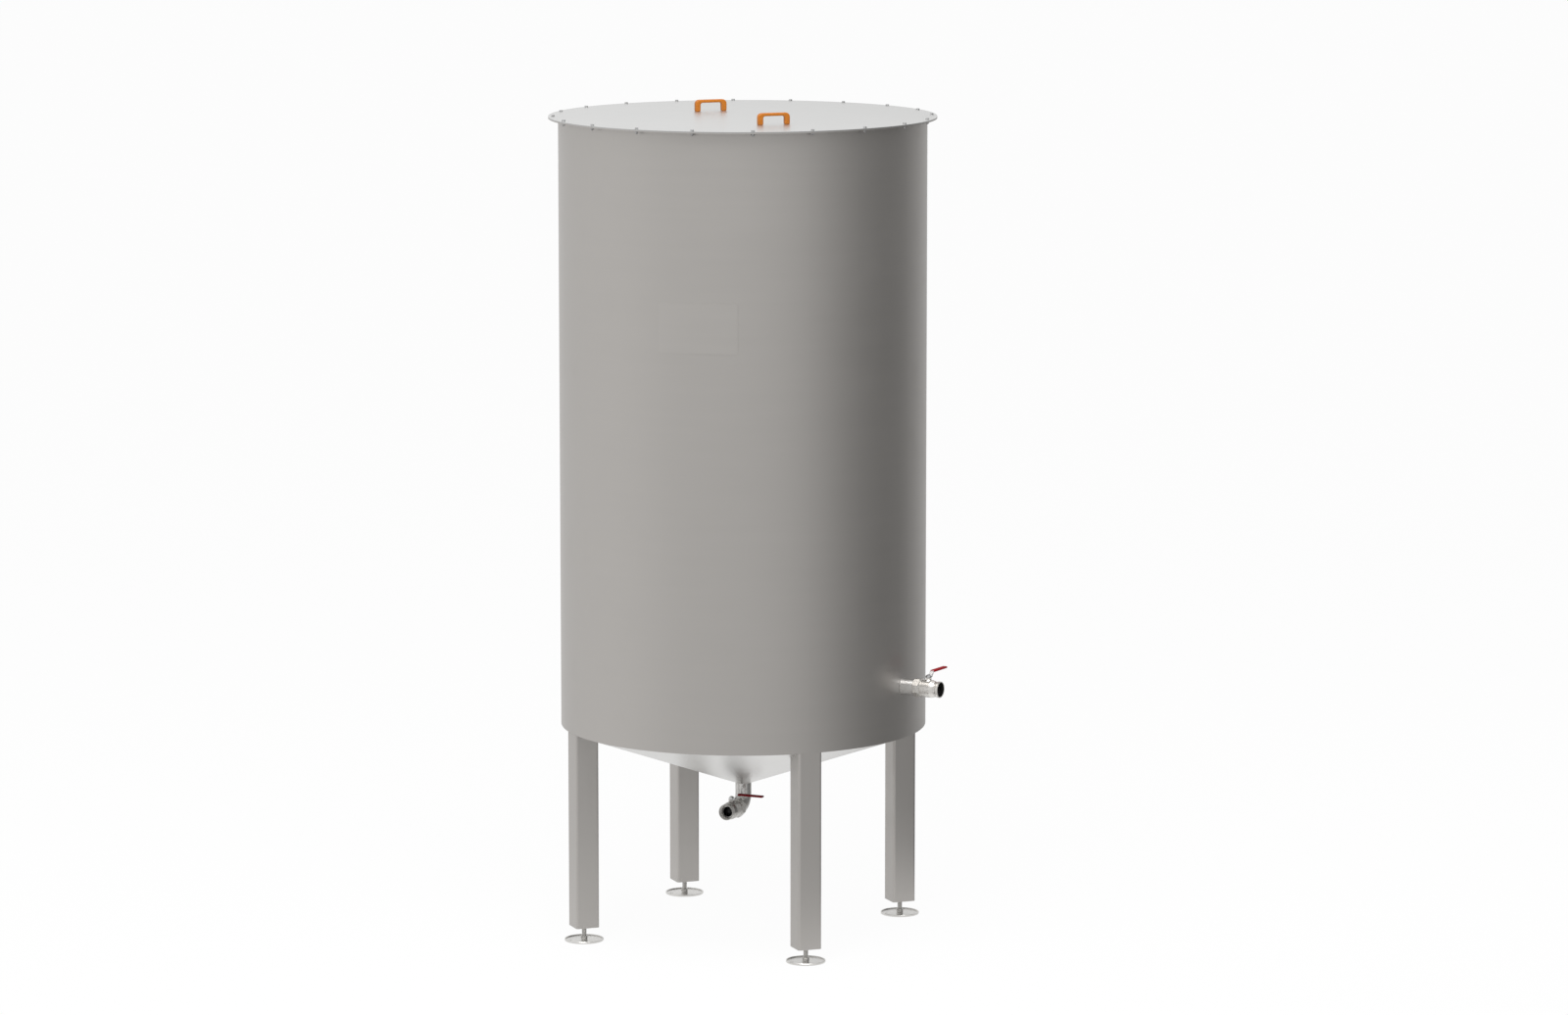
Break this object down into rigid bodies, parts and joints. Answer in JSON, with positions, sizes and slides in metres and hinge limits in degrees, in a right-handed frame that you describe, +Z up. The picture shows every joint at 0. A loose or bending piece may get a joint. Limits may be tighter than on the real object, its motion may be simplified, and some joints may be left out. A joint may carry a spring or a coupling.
{
  "type": "liquid tank",
  "caption": "Upright round steel liquid tank with a flat bolted lid, conical bottom, square legs on levelling feet, and ball valves on the side and bottom outlets.",
  "frame": {"origin": "on the floor under the tank's axis", "axes": "+Z up along the tank's axis; one leg on each of +X, +Y, -X and -Y, with the bottom outlet between the front and left legs"},
  "size_m": [1.2638, 1.264, 2.73],
  "materials": {
    "brushed_steel": "satin stainless steel",
    "lid_steel": "satin stainless steel",
    "plate_metal": "satin",
    "leg_steel": "satin stainless steel",
    "foot_steel": "satin stainless steel",
    "orange_handle": "orange powder coat",
    "valve_nickel": "nickel plated",
    "ball_chrome": "polished",
    "lever_steel": "zinc plated",
    "red_grip": "red vinyl sleeve"
  },
  "bodies": {
    "tank": {"shell": "brushed_steel", "top_flange": "brushed_steel", "lid": "lid_steel", "cone_bottom": "lid_steel", "nameplate": "plate_metal", "front_lid_handle": "orange_handle", "rear_lid_handle": "orange_handle", "right_leg": "leg_steel", "rear_leg": "leg_steel", "left_leg": "leg_steel", "front_leg": "leg_steel", "right_leg_end_plate": "leg_steel", "rear_leg_end_plate": "leg_steel", "left_leg_end_plate": "leg_steel", "front_leg_end_plate": "leg_steel", "right_foot_stem": "foot_steel", "rear_foot_stem": "foot_steel", "left_foot_stem": "foot_steel", "front_foot_stem": "foot_steel", "right_foot": "foot_steel", "rear_foot": "foot_steel", "left_foot": "foot_steel", "front_foot": "foot_steel", "side_outlet_pipe": "brushed_steel", "bottom_outlet_pipe": "brushed_steel", "bottom_outlet_elbow": "brushed_steel", "side_valve_collar": "valve_nickel", "side_valve_body": "valve_nickel", "side_valve_gland": "valve_nickel", "bottom_valve_collar": "valve_nickel", "bottom_valve_body": "valve_nickel", "bottom_valve_gland": "valve_nickel"},
    "side_valve_handle": {"side_valve_ball": "ball_chrome", "side_valve_lever": "lever_steel", "side_valve_grip": "red_grip"},
    "bottom_valve_handle": {"bottom_valve_ball": "ball_chrome", "bottom_valve_lever": "lever_steel", "bottom_valve_grip": "red_grip"}
  },
  "joints": [
    {"name": "side_lever_turn", "type": "hinge", "parent": "tank", "child": "side_valve_handle", "pos_m": [0.4358, -0.53817, 0.863], "axis": [0, 0, 1], "range_deg": [-90, 0]},
    {"name": "bottom_lever_turn", "type": "hinge", "parent": "tank", "child": "bottom_valve_handle", "pos_m": [-0.06582, -0.06356, 0.41], "axis": [0, 0, 1], "range_deg": [-90, 0]}
  ]
}
